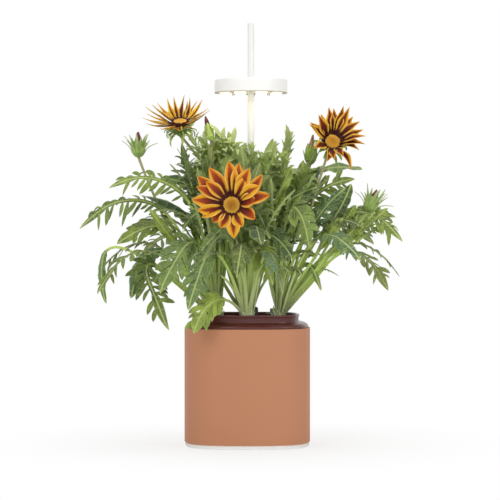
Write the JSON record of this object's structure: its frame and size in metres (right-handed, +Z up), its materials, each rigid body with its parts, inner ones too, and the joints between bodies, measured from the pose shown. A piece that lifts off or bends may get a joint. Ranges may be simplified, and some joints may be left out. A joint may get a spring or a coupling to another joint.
{
  "type": "countertop hydroponic garden",
  "caption": "Self-watering countertop garden: sleeved reservoir pot, lift-out planting deck with flowering plants, and a round grow lamp that slides on a slim mast.",
  "frame": {"origin": "on the table under the middle of the pot", "axes": "+Z up, -Y to the front, +X to the right seen from the front"},
  "size_m": [0.3556, 0.2626, 0.4639],
  "materials": {
    "shell_white": "satin",
    "inner_grey": "matte",
    "steel": "satin",
    "rubber": "matte",
    "terracotta": "matte",
    "circuit_green": "satin",
    "chip_black": "matte",
    "contact_brass": "satin",
    "pot_brown": "satin",
    "deck_dark": "matte",
    "float_white": "satin",
    "mast_white": "satin",
    "lamp_white": "satin",
    "aluminium": "satin",
    "board_white": "satin",
    "led_yellow": "gloss",
    "lens_plate": "satin",
    "lens_glow": "satin",
    "peg_grey": "satin",
    "petals": "matte",
    "bud_green": "matte",
    "cup_black": "matte",
    "plug_brown": "matte",
    "wick_felt": "matte",
    "leaf_green": "satin"
  },
  "bodies": {
    "root": {"base_tray": "shell_white", "bay_cover": "inner_grey", "cover_screws": "steel", "rubber_feet": "rubber", "outer_sleeve": "terracotta", "control_board": "circuit_green", "board_parts": "chip_black", "board_screws": "steel", "power_inlet": "steel", "power_socket": "inner_grey", "socket_pins": "contact_brass"},
    "pot": {"reservoir_pot": "pot_brown", "mast_standpipe": "pot_brown", "rim_collar": "pot_brown"},
    "deck": {"planting_deck": "deck_dark", "mast_grommet": "rubber", "net_cup_front": "cup_black", "grow_plug_front": "plug_brown", "wick_front": "wick_felt", "plant_front": "leaf_green", "net_cup_right": "cup_black", "grow_plug_right": "plug_brown", "wick_right": "wick_felt", "plant_right": "leaf_green", "net_cup_back": "cup_black", "grow_plug_back": "plug_brown", "wick_back": "wick_felt", "plant_back": "leaf_green", "net_cup_left": "cup_black", "grow_plug_left": "plug_brown", "wick_left": "wick_felt", "plant_left": "leaf_green", "flower_front": "petals", "flower_left": "petals", "flower_right": "petals", "bud_left": "bud_green", "bud_centre": "bud_green", "bud_right": "bud_green", "bud_spent": "bud_green"},
    "fill_cap": {"fill_cap": "deck_dark"},
    "float": {"float_gauge": "float_white"},
    "mast": {"mast_tube": "mast_white", "conductor_strips": "contact_brass", "mast_foot_plug": "mast_white", "mast_cap": "mast_white"},
    "head": {"lamp_housing": "lamp_white", "slide_bush": "lamp_white", "wiper_contacts": "contact_brass", "heat_spreader": "aluminium", "led_board": "board_white", "leds": "led_yellow", "led_board_screws": "steel", "lens_plate": "lens_plate", "lens_pods": "lens_glow", "lens_plate_pegs": "peg_grey", "timer_switch": "chip_black"},
    "button": {"timer_button": "lamp_white"}
  },
  "joints": [
    {"name": "pot_lift", "type": "slide", "parent": "root", "child": "pot", "axis": [0, 0, 1], "range_m": [0, 0.12]},
    {"name": "deck_lift", "type": "slide", "parent": "pot", "child": "deck", "axis": [0, 0, 1], "range_m": [0, 0.06]},
    {"name": "fill_cap_lift", "type": "slide", "parent": "deck", "child": "fill_cap", "axis": [0, 0, 1], "range_m": [0, 0.02]},
    {"name": "float_rise", "type": "slide", "parent": "deck", "child": "float", "axis": [0, 0, 1], "range_m": [0, 0.012]},
    {"name": "mast_pull", "type": "slide", "parent": "deck", "child": "mast", "axis": [0, 0, 1], "range_m": [0, 0.126]},
    {"name": "head_slide", "type": "slide", "parent": "mast", "child": "head", "axis": [0, 0, 1], "range_m": [-0.025, 0.05]},
    {"name": "timer_press", "type": "slide", "parent": "head", "child": "button", "axis": [0, 0, -1], "range_m": [0, 0.0008], "stiffness_N_per_m": 400}
  ]
}
